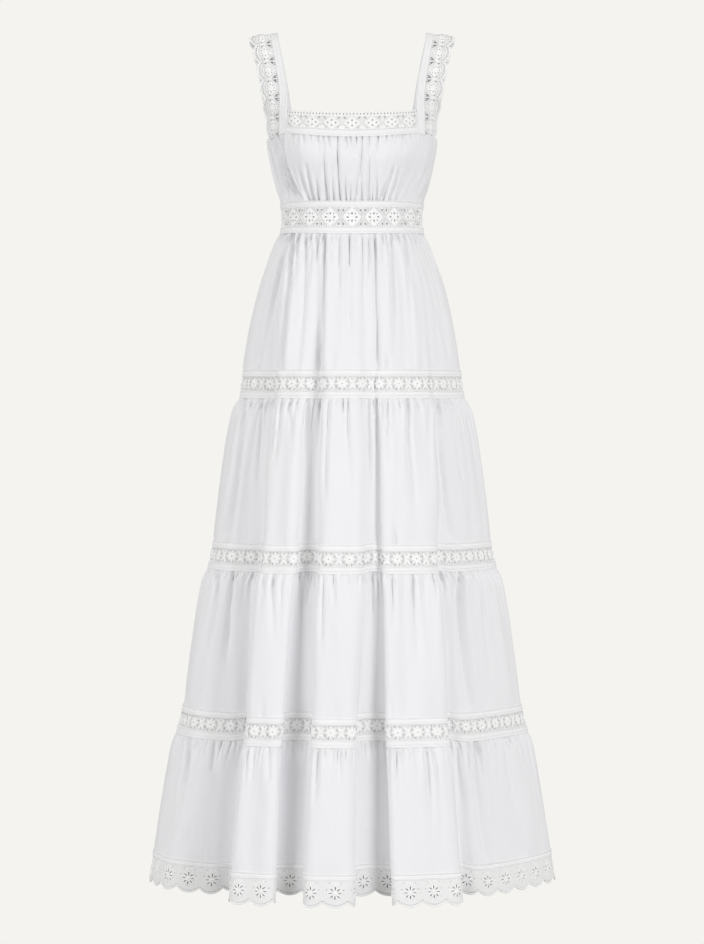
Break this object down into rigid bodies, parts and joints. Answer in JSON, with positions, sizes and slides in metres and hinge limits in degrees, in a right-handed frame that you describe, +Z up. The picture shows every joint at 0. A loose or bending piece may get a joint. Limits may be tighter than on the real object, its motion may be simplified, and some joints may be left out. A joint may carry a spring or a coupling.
{
  "type": "maxi dress",
  "caption": "White cotton maxi dress with wide lace straps, a gathered bodice, a tiered skirt with lace insertions and a scalloped lace hem.",
  "frame": {"origin": "midway between the tops of the two straps, where the wearer's shoulders carry the dress", "axes": "+Z up, the front of the dress faces -Y, +X to the right as seen from the front"},
  "size_m": [0.6832, 0.636, 1.4487],
  "materials": {
    "white_cotton": "fine plain-weave cotton, matt, softly creased",
    "white_lace": "open cotton lace: net ground, raised embroidered flowers, eyelets",
    "white_tape": "folded cotton tape, stitched along both edges"
  },
  "bodies": {
    "root": {"bodice_front": "white_cotton", "bodice_side_left": "white_cotton", "bodice_side_right": "white_cotton", "bodice_back": "white_cotton", "neck_band_back": "white_cotton", "neck_picot_edge": "white_lace", "neck_lace": "white_lace", "neck_tape": "white_tape", "strap_lace_left": "white_lace", "strap_lace_right": "white_lace", "strap_tape_left": "white_tape", "strap_tape_right": "white_tape", "waist_upper_tape": "white_tape", "waist_lace": "white_lace", "waist_lower_tape": "white_tape", "tier_1_front": "white_cotton", "tier_1_back": "white_cotton", "insertion_1_upper_tape": "white_tape", "insertion_1_lace": "white_lace", "insertion_1_lower_tape": "white_tape", "tier_2_front": "white_cotton", "tier_2_back": "white_cotton", "insertion_2_upper_tape": "white_tape", "insertion_2_lace": "white_lace", "insertion_2_lower_tape": "white_tape", "tier_3_front": "white_cotton", "tier_3_back": "white_cotton", "insertion_3_upper_tape": "white_tape", "insertion_3_lace": "white_lace", "insertion_3_lower_tape": "white_tape", "tier_4_front": "white_cotton", "tier_4_back": "white_cotton", "hem_tape": "white_tape", "hem_lace": "white_lace"}
  },
  "joints": []
}
